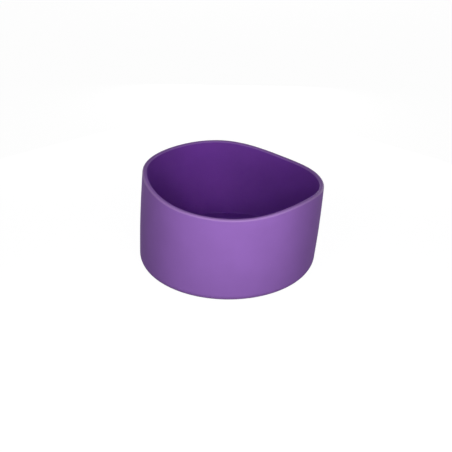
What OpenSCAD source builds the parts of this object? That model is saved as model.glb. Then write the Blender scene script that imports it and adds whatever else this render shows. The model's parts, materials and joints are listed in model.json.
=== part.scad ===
// Silicone boot for the base of a drinking bottle: a soft open cup with a straight thin wall,
// a flat floor and a rim that rises and dips around a slightly slanted mouth.
// +Z is up, the front crest of the rim faces -Y and the origin is the middle of the standing plane.
// The cup is one moulding. It is drawn as its four zones, which meet face to face:
// the floor disc, the heel ring round it, the side wall on the heel and the wavy rim on the wall.

/* [Cup] */
// Inside diameter, the size of bottle base that the cup grips
bore_d = 90; // [60:0.5:120]
// Thickness of the side wall
wall_t = 2.3; // [1.6:0.1:4]
// Height of the inside floor above the standing plane
floor_t = 2.4; // [1.6:0.1:4]

/* [Rim] */
// Height of the rim's front crest, on a level mouth
rim_front_h = 50; // [44:0.5:60]
// Height of the rim's back crest, on a level mouth
rim_back_h = 48; // [44:0.5:60]
// Height of the rim half way between the crests, at both sides of a level mouth
rim_side_h = 45.2; // [36:0.1:56]
// Angle by which the whole mouth slants down to one side
mouth_slant = 3.4; // [0:0.1:5]
// Where the mouth slants down to, measured around it from the front crest
slant_turn = 40; // [0:1:90]
// Radius of the rim's outer edge
rim_outer_r = 0.8; // [0.2:0.1:1]
// Radius of the rim's inner edge
rim_inner_r = 0.5; // [0.2:0.1:0.6]
// Depth of the rim band below the lowest dip of the wave
rim_band_h = 5; // [2:0.5:12]

/* [Base] */
// Outside radius of the bottom corner
heel_r = 4; // [1:0.5:6]
// Inside radius between floor and wall
corner_r = 1.2; // [0.4:0.1:3]
// Height of the heel ring
heel_h = 8; // [7.5:0.5:16]
// Width of the flat ring that the cup stands on
foot_w = 8; // [3:0.5:20]
// Depth of the shallow relief under the floor
relief_t = 0.6; // [0.2:0.1:1]

/* [Hidden] */
silicone = [0.58, 0.42, 0.72];
bore_r = bore_d / 2;
outer_r = bore_r + wall_t;
foot_r = outer_r - heel_r - foot_w;
// Steps around the mouth, a multiple of four so that the box touches the true radius
mouth_steps = 96;
// Steps in each rounded edge of the rim
edge_steps = 4;
step_deg = 360 / mouth_steps;
// A faceted bore is drawn just outside the true circle, so that its flats touch the circle
rim_bore_r = bore_r / cos(step_deg / 2);
// The wave is a long swell with two crests and a smaller one with three, both starting at the front
swell_two = (rim_front_h + rim_back_h - 2 * rim_side_h) / 4;
swell_three = (rim_front_h - rim_back_h) / 2;
rim_mean_h = rim_side_h + swell_two;
// How much lower the slant puts the rim on one side, and higher on the other
slant_drop = outer_r * tan(mouth_slant);
rim_low_h = min([for (i = [0:mouth_steps - 1]) rim_z(i * step_deg)]);
rim_seat_h = rim_low_h - rim_band_h;
$fn = 96;

// Height of the rim at an angle measured around the mouth from the front crest
function rim_z(a) =
    rim_mean_h + swell_two * cos(2 * a) + swell_three * cos(3 * a) - slant_drop * cos(a - slant_turn);

// Section of the rim as [radius, height] pairs: up the outside, over both edges, down the inside
function rim_section(top) = concat(
    [[outer_r, rim_seat_h]],
    [for (i = [0:edge_steps])
        let (t = 90 * i / edge_steps)
        [outer_r - rim_outer_r * (1 - cos(t)), top - rim_outer_r * (1 - sin(t))]],
    [for (i = [0:edge_steps])
        let (t = 90 * i / edge_steps)
        [rim_bore_r + rim_inner_r * (1 - sin(t)), top - rim_inner_r * (1 - cos(t))]],
    [[rim_bore_r, rim_seat_h]]
);

// A point of a section turned to its place around the mouth, with the front crest at -Y
function around(p, a) = [p[0] * sin(a), -p[0] * cos(a), p[1]];

// Closed ring through sections of equal length, skinned with triangles
module skinned_ring(sections) {
    n = len(sections);
    m = len(sections[0]);
    points = [for (i = [0:n - 1]) for (p = sections[i]) around(p, i * step_deg)];
    faces = [for (i = [0:n - 1]) for (j = [0:m - 1]) for (half = [0:1])
        let (
            near = i * m,
            far = ((i + 1) % n) * m,
            next = (j + 1) % m
        )
        half == 0 ? [near + j, near + next, far + j] : [far + j, near + next, far + next]];
    polyhedron(points = points, faces = faces, convexity = 6);
}

// Outside of the cup's corner: square above, rounded at the heel
module heel_outside() {
    translate([foot_r, heel_r])
        square([outer_r - foot_r, heel_h - heel_r]);
    translate([foot_r, 0])
        square([outer_r - heel_r - foot_r, heel_r]);
    translate([outer_r - heel_r, heel_r])
        circle(heel_r);
}

// Inside of the cup at the corner: the room above the floor, rounded where floor meets wall
module heel_inside() {
    translate([0, floor_t])
        square([bore_r - corner_r, heel_h]);
    translate([0, floor_t + corner_r])
        square([bore_r, heel_h]);
    translate([bore_r - corner_r, floor_t + corner_r])
        circle(corner_r);
}

// Floor of the cup, held a little above the standing plane by the heel ring
module floor_disc() {
    color(silicone)
        translate([0, 0, relief_t])
        cylinder(r = foot_r, h = floor_t - relief_t);
}

// Rounded corner between floor and wall, whose flat underside is the ring that the cup stands on
module heel_ring() {
    color(silicone)
        rotate_extrude()
        difference() {
            heel_outside();
            heel_inside();
        }
}

// Straight wall that grips the bottle
module side_wall() {
    color(silicone)
        translate([0, 0, heel_h])
        rotate_extrude()
        translate([bore_r, 0])
        square([wall_t, rim_seat_h - heel_h]);
}

// Upper band of the wall, with the rising and dipping rim and its rounded edges
module wavy_rim() {
    color(silicone)
        skinned_ring([for (i = [0:mouth_steps - 1]) rim_section(rim_z(i * step_deg))]);
}

floor_disc();
heel_ring();
side_wall();
wavy_rim();
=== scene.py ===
import json
import math

import bmesh
import bpy
from mathutils import Matrix, Vector


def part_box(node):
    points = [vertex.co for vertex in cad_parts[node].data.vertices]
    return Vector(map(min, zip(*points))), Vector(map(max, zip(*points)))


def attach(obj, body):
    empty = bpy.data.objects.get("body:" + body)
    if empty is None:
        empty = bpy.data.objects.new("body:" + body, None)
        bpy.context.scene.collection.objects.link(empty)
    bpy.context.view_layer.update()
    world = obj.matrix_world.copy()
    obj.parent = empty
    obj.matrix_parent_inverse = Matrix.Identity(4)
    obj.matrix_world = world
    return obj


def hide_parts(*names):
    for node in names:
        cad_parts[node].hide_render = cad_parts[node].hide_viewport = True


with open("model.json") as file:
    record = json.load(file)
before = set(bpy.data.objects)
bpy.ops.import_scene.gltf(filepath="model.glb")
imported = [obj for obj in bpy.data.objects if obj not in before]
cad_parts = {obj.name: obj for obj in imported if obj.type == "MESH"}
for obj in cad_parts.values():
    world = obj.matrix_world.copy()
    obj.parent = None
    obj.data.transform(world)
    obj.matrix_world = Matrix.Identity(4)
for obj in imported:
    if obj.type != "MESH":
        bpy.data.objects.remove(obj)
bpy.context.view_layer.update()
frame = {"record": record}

# The floor: a flat web of purple silicone that closes the bottom of the cup and takes the bottle's
# weight. It is moulded in one with the ring round it, and its underside stays just above the table.
floor_low, floor_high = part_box("floor_disc")
floor_r = floor_high.x
floor_rings = 12
turn_steps = 256
weld_gap = 1e-7
crisp_angle = math.radians(30)

# The soft cup doesn't stand quite true: it leans to one side about its middle, and swells there.
middle_h = 0.0235
lean = math.tan(math.radians(3.4))
lean_turn = math.radians(40)
lean_way = Vector((math.sin(lean_turn), -math.cos(lean_turn), 0))
belly = 0.009

# The silicone is matte outside and smoother inside, where its darker purple is painted shade.
# It has faint clouds, dust and grain.
skin_purple = (0.269, 0.120, 0.45)
painted_shade_purple = (0.1724, 0.0459, 0.3583)
dust_purple = (0.46, 0.34, 0.60)
silicone_ior = 1.41
cloud_scale = 60
cloud_depth = 0.04
dust_scale = 75
dust_cover = 0.4
speck_core = 0.012
speck_edge = 0.030
grain_scale = 2600
grain_strength = 0.3
lining_slot, skin_slot, painted_light_slot = range(3)


def settled(radius, height, turn):
    """A point of the cup as it stands, with turn measured from the rim's front crest."""
    swollen = radius * (1 + belly * math.sin(math.pi * height / (2 * middle_h)))
    upright = Vector((swollen * math.sin(turn), -swollen * math.cos(turn), height))
    return upright + lean_way * lean * (height - middle_h)


def run(start, end, count):
    """Evenly spaced (radius, height) points from start towards end, without the end itself."""
    return [tuple(a + (b - a) * i / count for a, b in zip(start, end)) for i in range(count)]


def moulded(name, section_at, lined, painted_light_faces=range(0)):
    """A closed piece that follows one section all the way round.

    The first faces of the section, as many as lined says, line the cup's inside; their darker
    purple is painted shade. The faces in the last argument take a paler purple painted on as light.
    """
    mesh = bmesh.new()
    rings = []
    for step in range(turn_steps):
        turn = 2 * math.pi * step / turn_steps
        rings.append([mesh.verts.new(settled(r, z, turn)) for r, z in section_at(turn)])
    for ring, following in zip(rings, rings[1:] + rings[:1]):
        for i in range(len(ring)):
            j = (i + 1) % len(ring)
            face = mesh.faces.new((ring[i], ring[j], following[j], following[i]))
            face.smooth = True
            if i < lined:
                face.material_index = lining_slot
            elif i in painted_light_faces:
                face.material_index = painted_light_slot
            else:
                face.material_index = skin_slot
    bmesh.ops.remove_doubles(mesh, verts=mesh.verts, dist=weld_gap)
    bmesh.ops.recalc_face_normals(mesh, faces=mesh.faces)
    for edge in mesh.edges:
        edge.smooth = edge.calc_face_angle(0) < crisp_angle
    data = bpy.data.meshes.new(name)
    mesh.to_mesh(data)
    mesh.free()
    data.materials.append(lining)
    data.materials.append(skin)
    if painted_light_faces:
        data.materials.append(painted_light)
    piece = bpy.data.objects.new(name, data)
    bpy.context.scene.collection.objects.link(piece)
    return piece


def silicone_finish(name, purple, gloss, smoothest, roughest, grain_depth):
    """Moulded silicone: one purple with faint clouds, the mould's fine grain and a little dust."""
    material = bpy.data.materials.new(name)
    material.use_nodes = True
    nodes = material.node_tree.nodes
    link = material.node_tree.links.new
    shader = nodes["Principled BSDF"]
    shader.inputs["IOR"].default_value = silicone_ior
    shader.inputs["Specular IOR Level"].default_value = gloss
    place = nodes.new("ShaderNodeTexCoord")

    clouds = nodes.new("ShaderNodeTexNoise")
    clouds.inputs["Scale"].default_value = cloud_scale
    clouds.inputs["Detail"].default_value = 5
    tint = nodes.new("ShaderNodeValToRGB")
    darkest, palest = tint.color_ramp.elements
    darkest.position = 0.3
    darkest.color = (*[c * (1 - cloud_depth) for c in purple], 1)
    palest.position = 0.7
    palest.color = (*[c * (1 + cloud_depth) for c in purple], 1)

    cells = nodes.new("ShaderNodeTexVoronoi")
    cells.inputs["Scale"].default_value = dust_scale
    speck = nodes.new("ShaderNodeMapRange")
    speck.inputs["From Min"].default_value = speck_core
    speck.inputs["From Max"].default_value = speck_edge
    speck.inputs["To Min"].default_value = dust_cover
    speck.inputs["To Max"].default_value = 0.0
    dusted = nodes.new("ShaderNodeMix")
    dusted.data_type = "RGBA"
    dusted.inputs["B"].default_value = (*dust_purple, 1)

    grain = nodes.new("ShaderNodeTexNoise")
    grain.inputs["Scale"].default_value = grain_scale
    grain.inputs["Detail"].default_value = 3
    rough = nodes.new("ShaderNodeMapRange")
    rough.inputs["To Min"].default_value = smoothest
    rough.inputs["To Max"].default_value = roughest
    bump = nodes.new("ShaderNodeBump")
    bump.inputs["Strength"].default_value = grain_strength
    bump.inputs["Distance"].default_value = grain_depth

    for texture in (clouds, cells, grain):
        link(place.outputs["Object"], texture.inputs["Vector"])
    link(clouds.outputs["Fac"], tint.inputs["Fac"])
    link(cells.outputs["Distance"], speck.inputs["Value"])
    link(speck.outputs["Result"], dusted.inputs["Factor"])
    link(tint.outputs["Color"], dusted.inputs["A"])
    link(dusted.outputs["Result"], shader.inputs["Base Color"])
    link(grain.outputs["Fac"], rough.inputs["Value"])
    link(rough.outputs["Result"], shader.inputs["Roughness"])
    link(grain.outputs["Fac"], bump.inputs["Height"])
    link(bump.outputs["Normal"], shader.inputs["Normal"])
    return material


def floor_section(turn):
    """Out along the top, down the edge and back along the underside."""
    return [
        *run((0, floor_high.z), (floor_r, floor_high.z), floor_rings),
        (floor_r, floor_high.z),
        *run((floor_r, floor_low.z), (0, floor_low.z), floor_rings),
        (0, floor_low.z),
    ]


skin = silicone_finish(
    "matte_skin", skin_purple, gloss=0.5, smoothest=0.75, roughest=0.85, grain_depth=0.00004
)
# The lining's darker purple is painted shade: the inside is the same silicone as the skin.
lining = silicone_finish(
    "smooth_lining_painted_shade", painted_shade_purple, gloss=0.2, smoothest=0.48, roughest=0.56, grain_depth=0.00002
)
cup_floor = moulded("cup_floor", floor_section, floor_rings)
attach(cup_floor, "root")
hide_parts("floor_disc")

# The heel: the rounded corner of silicone between floor and wall, with the flat ring that the cup
# stands on. It is moulded with a generous radius outside and a crisp corner inside. Its lower round
# has a paler purple painted on as light, in place of the light that the table throws up under it.
heel_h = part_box("heel_ring")[1].z
socket = next(mount for mount in frame["record"]["mounts"] if mount["name"] == "bottle_socket")
bore_r = socket["dims"]["r_mm"] / 1000
wall_t = 0.0023
outer_r = bore_r + wall_t
heel_r = 0.004
corner_r = 0.0005
foot_edge_r = 0.0003
heel_steps = 24
corner_steps = 12
foot_edge_steps = 6
flat_rings = 4
upright_rings = 6
across_rings = 2
# A paler purple painted on as light: a painted highlight on the rim's outer round and painted light
# from the table under the heel.
painted_light_purple = (0.322, 0.166, 0.468)


def bend(centre, radius, first, last, count):
    """Points of a rounded corner from the first angle towards the last, without the last itself."""
    angles = [math.radians(first + (last - first) * i / count) for i in range(count)]
    return [(centre[0] + radius * math.cos(a), centre[1] + radius * math.sin(a)) for a in angles]


def heel_section(turn):
    """Out on the floor, up the inside, over the top, down round the heel and in under the foot."""
    return [
        *run((floor_r, floor_high.z), (bore_r - corner_r, floor_high.z), flat_rings),
        *bend((bore_r - corner_r, floor_high.z + corner_r), corner_r, -90, 0, corner_steps),
        *run((bore_r, floor_high.z + corner_r), (bore_r, heel_h), upright_rings),
        *run((bore_r, heel_h), (outer_r, heel_h), across_rings),
        *run((outer_r, heel_h), (outer_r, heel_r), upright_rings),
        *bend((outer_r - heel_r, heel_r), heel_r, 0, -90, heel_steps),
        *run((outer_r - heel_r, 0), (floor_r + foot_edge_r, 0), flat_rings),
        *bend((floor_r + foot_edge_r, foot_edge_r), foot_edge_r, -90, -180, foot_edge_steps),
        *run((floor_r, foot_edge_r), (floor_r, floor_high.z), across_rings),
    ]


# This finish's paler purple is painted light; its lower roughness makes those rounds glossier.
painted_light = silicone_finish(
    "painted_light_edge", painted_light_purple, gloss=0.5, smoothest=0.55, roughest=0.65, grain_depth=0.00002
)
heel_lined = flat_rings + corner_steps + upright_rings
heel_bend = heel_lined + across_rings + upright_rings
# The heel's lower round takes the paler purple: painted light in place of light from the table.
heel_painted_light_faces = range(heel_bend + heel_steps // 3, heel_bend + heel_steps)
heel = moulded("heel", heel_section, heel_lined, heel_painted_light_faces)
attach(heel, "root")
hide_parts("heel_ring")

# The side wall: a plain sleeve of silicone, even all round, that stretches over the bottle and
# grips it. It is moulded on the heel with no seam.
seat_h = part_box("side_wall")[1].z
wall_rings = 28


def wall_section(turn):
    """Up the inside and down the outside."""
    return [
        *run((bore_r, heel_h), (bore_r, seat_h), wall_rings),
        *run((bore_r, seat_h), (outer_r, seat_h), across_rings),
        *run((outer_r, seat_h), (outer_r, heel_h), wall_rings),
        *run((outer_r, heel_h), (bore_r, heel_h), across_rings),
    ]


sleeve = moulded("sleeve", wall_section, wall_rings)
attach(sleeve, "root")
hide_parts("side_wall")

# The rim: the top band of the same silicone wall, moulded to a wave with one crest in front and one
# behind. The mouth slants down the way the cup leans. The top is a narrow flat between two small
# rounds. The outer round is glossier, with a paler purple painted on it as a highlight.
front_h = 0.050
back_h = 0.048
side_h = 0.0452
swell_two = (front_h + back_h - 2 * side_h) / 4
swell_three = (front_h - back_h) / 2
slant_drop = outer_r * lean
outer_edge_r = 0.0008
inner_edge_r = 0.0008
edge_steps = 8
top_rings = 3
band_rings = 10

# Being soft, the edge also ripples a little. Each row has the number of crests, their height, and
# where one of them stands, in degrees from the front crest.
ripples = [
    (4, 0.00023, -41.5),
    (5, 0.00028, -7.1),
    (6, 0.00016, -5.8),
]


def rim_h(turn):
    """Height of the rim: a swell with two crests, a smaller one with three, slant and ripples."""
    swell = swell_two * math.cos(2 * turn) + swell_three * math.cos(3 * turn)
    slant = slant_drop * math.cos(turn - lean_turn)
    ripple = 0
    for crests, height, crest_deg in ripples:
        ripple += height * math.cos(crests * (turn - math.radians(crest_deg)))
    return side_h + swell_two + swell - slant + ripple


def rim_section(turn):
    """Up the inside, over both rounded edges and down the outside."""
    top = rim_h(turn)
    return [
        *run((bore_r, seat_h), (bore_r, top - inner_edge_r), band_rings),
        *bend((bore_r + inner_edge_r, top - inner_edge_r), inner_edge_r, 180, 90, edge_steps),
        *run((bore_r + inner_edge_r, top), (outer_r - outer_edge_r, top), top_rings),
        *bend((outer_r - outer_edge_r, top - outer_edge_r), outer_edge_r, 90, 0, edge_steps),
        *run((outer_r, top - outer_edge_r), (outer_r, seat_h), band_rings),
        *run((outer_r, seat_h), (bore_r, seat_h), across_rings),
    ]


outer_edge = band_rings + edge_steps + top_rings
# The rim's outer round takes the paler purple: a painted highlight line.
rim_painted_light_faces = range(outer_edge, outer_edge + edge_steps)
rim = moulded("rim", rim_section, band_rings, rim_painted_light_faces)
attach(rim, "root")
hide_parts("wavy_rim")

# The table: a wide pale board a hair under the cup's foot, which takes the cup's shadow.
# To the camera and in reflections it is brought up to white, like the paper of a studio.
table_half = 3.0
table_h = -0.00005
table_grey = (0.10, 0.10, 0.10, 1)
table_lift = 0.96


def seen_or_mirrored(nodes, link):
    """1 for rays that show the background: straight from the camera, mirrored or passed through."""
    path = nodes.new("ShaderNodeLightPath")
    first = nodes.new("ShaderNodeMath")
    first.operation = "MAXIMUM"
    second = nodes.new("ShaderNodeMath")
    second.operation = "MAXIMUM"
    link(path.outputs["Is Camera Ray"], first.inputs[0])
    link(path.outputs["Is Glossy Ray"], first.inputs[1])
    link(first.outputs["Value"], second.inputs[0])
    link(path.outputs["Is Transmission Ray"], second.inputs[1])
    return second.outputs["Value"]


board = bpy.data.materials.new("pale_board")
board.use_nodes = True
nodes = board.node_tree.nodes
link = board.node_tree.links.new
nodes.clear()
paint = nodes.new("ShaderNodeBsdfDiffuse")
paint.inputs["Color"].default_value = table_grey
lift = nodes.new("ShaderNodeEmission")
strength = nodes.new("ShaderNodeMath")
strength.operation = "MULTIPLY"
strength.inputs[1].default_value = table_lift
both = nodes.new("ShaderNodeAddShader")
output = nodes.new("ShaderNodeOutputMaterial")
link(seen_or_mirrored(nodes, link), strength.inputs[0])
link(strength.outputs["Value"], lift.inputs["Strength"])
link(paint.outputs["BSDF"], both.inputs[0])
link(lift.outputs["Emission"], both.inputs[1])
link(both.outputs["Shader"], output.inputs["Surface"])

table_data = bpy.data.meshes.new("table")
corners = [
    (-table_half, -table_half, table_h),
    (table_half, -table_half, table_h),
    (table_half, table_half, table_h),
    (-table_half, table_half, table_h),
]
table_data.from_pydata(corners, [], [(0, 1, 2, 3)])
table_data.materials.append(board)
table = bpy.data.objects.new("table", table_data)
bpy.context.scene.collection.objects.link(table)

# The camera: it looks down on the cup from in front and to one side of the rim's front crest.
# Its turn, height, distance and slight roll put rim, wall and floor where the photograph has them.
image_px = 452
cup_px = (229.95, 216.0)
centre_px = image_px / 2
view_turn = math.radians(-55)
view_rise = math.radians(27.64)
view_roll = math.radians(0.99)
view_distance = 0.400
focal_px = 747.4
sensor_mm = 36
aim = Vector((0, 0, middle_h))


def out_from_cup(turn, rise):
    """The direction out from the cup at a turn from the front crest and a rise over the table."""
    level = math.cos(rise)
    return Vector((math.sin(turn) * level, -math.cos(turn) * level, math.sin(rise)))


def placed(target, out, distance):
    """Where a camera or lamp stands that looks at the target from a distance."""
    facing = (-out).to_track_quat("-Z", "Y").to_matrix().to_4x4()
    return Matrix.Translation(target + out * distance) @ facing


camera_data = bpy.data.cameras.new("camera")
camera_data.sensor_width = sensor_mm
camera_data.lens = focal_px / image_px * sensor_mm
camera_data.shift_x = -(cup_px[0] - centre_px) / image_px
camera_data.shift_y = (cup_px[1] - centre_px) / image_px
camera_data.clip_start = 0.01
camera_data.clip_end = 20
camera = bpy.data.objects.new("camera", camera_data)
camera_place = placed(aim, out_from_cup(view_turn, view_rise), view_distance)
camera.matrix_world = camera_place @ Matrix.Rotation(view_roll, 4, "Z")
bpy.context.scene.collection.objects.link(camera)
bpy.context.scene.camera = camera

# The light: two soft boxes about as high as the camera, three lower ones, four low ones behind the
# cup and a small lamp with a grid, which throws a soft band of light on the wall inside. The room
# adds an even glow. It is white to the camera and in reflections, and dimmer as a light.
white = (1, 1, 1, 1)
room_glow = 0.15


def soft_box(name, turn_deg, rise_deg, distance, size, power, past_aim=0.0, spread_deg=180):
    """A lamp placed by its turn from the camera and its rise.

    It looks at the middle of the cup, or at a point as far beyond that as past_aim says.
    """
    turn = view_turn + math.radians(turn_deg)
    lamp = bpy.data.lights.new(name, "AREA")
    lamp.shape = "RECTANGLE"
    lamp.size, lamp.size_y = size
    lamp.energy = power
    lamp.spread = math.radians(spread_deg)
    box = bpy.data.objects.new(name, lamp)
    target = aim - out_from_cup(turn, 0) * past_aim
    box.matrix_world = placed(target, out_from_cup(turn, math.radians(rise_deg)), distance)
    box.visible_camera = False
    bpy.context.scene.collection.objects.link(box)


soft_box("left_box", turn_deg=-20, rise_deg=29, distance=0.22, size=(0.06, 0.025), power=0.108)
soft_box("right_box", turn_deg=12, rise_deg=26, distance=0.22, size=(0.06, 0.025), power=0.095)
soft_box("low_box", turn_deg=0, rise_deg=15, distance=0.22, size=(0.08, 0.05), power=0.0495)
soft_box("low_right_box", turn_deg=30, rise_deg=15, distance=0.22, size=(0.08, 0.05), power=0.0538)
soft_box("table_box", turn_deg=0, rise_deg=3, distance=0.30, size=(0.10, 0.06), power=0.098)
soft_box("back_box", turn_deg=180, rise_deg=6, distance=1.00, size=(0.50, 0.16), power=1.03)
soft_box("low_back_box", turn_deg=180, rise_deg=0, distance=0.30, size=(0.12, 0.025), power=0.26)
soft_box("left_side_box", turn_deg=-140, rise_deg=0, distance=0.20, size=(0.08, 0.025), power=0.05)
soft_box("right_side_box", turn_deg=140, rise_deg=0, distance=0.20, size=(0.08, 0.025), power=0.05)
soft_box("grid_lamp", turn_deg=20, rise_deg=29, distance=0.35, size=(0.02, 0.02), power=0.000815,
         past_aim=bore_r, spread_deg=12)

room = bpy.data.worlds.new("room")
room.use_nodes = True
nodes = room.node_tree.nodes
link = room.node_tree.links.new
nodes.clear()
glow = nodes.new("ShaderNodeBackground")
glow.inputs["Color"].default_value = white
glow.inputs["Strength"].default_value = room_glow
paper = nodes.new("ShaderNodeBackground")
paper.inputs["Color"].default_value = white
chosen = nodes.new("ShaderNodeMixShader")
output = nodes.new("ShaderNodeOutputWorld")
link(seen_or_mirrored(nodes, link), chosen.inputs["Fac"])
link(glow.outputs["Background"], chosen.inputs[1])
link(paper.outputs["Background"], chosen.inputs[2])
link(chosen.outputs["Shader"], output.inputs["Surface"])
bpy.context.scene.world = room
bpy.context.scene.view_settings.view_transform = "Standard"
